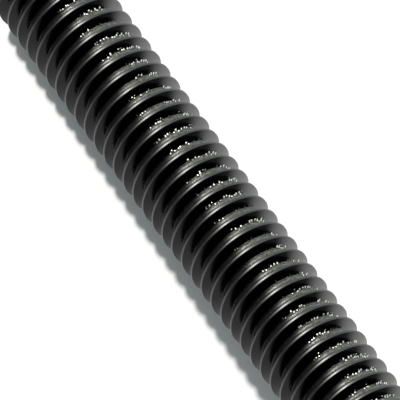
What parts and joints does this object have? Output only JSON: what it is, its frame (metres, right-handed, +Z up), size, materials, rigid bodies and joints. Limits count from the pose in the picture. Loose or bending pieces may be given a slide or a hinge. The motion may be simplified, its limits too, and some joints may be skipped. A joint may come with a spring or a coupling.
{
  "type": "cheese head screw",
  "caption": "Slotted cheese head machine screw, M4 right-hand thread to near the head, 30 mm under the head, black oxide finish.",
  "frame": {"origin": "on the surface that the screw lies on, under the middle of its box", "axes": "+Z up, +X along the lying screw from its head to its end"},
  "size_m": [0.0328, 0.007, 0.007],
  "materials": {
    "black_oxide": "glossy black oxide, slightly rough in the thread's roots"
  },
  "bodies": {
    "root": {"screw": "black_oxide"}
  },
  "joints": []
}
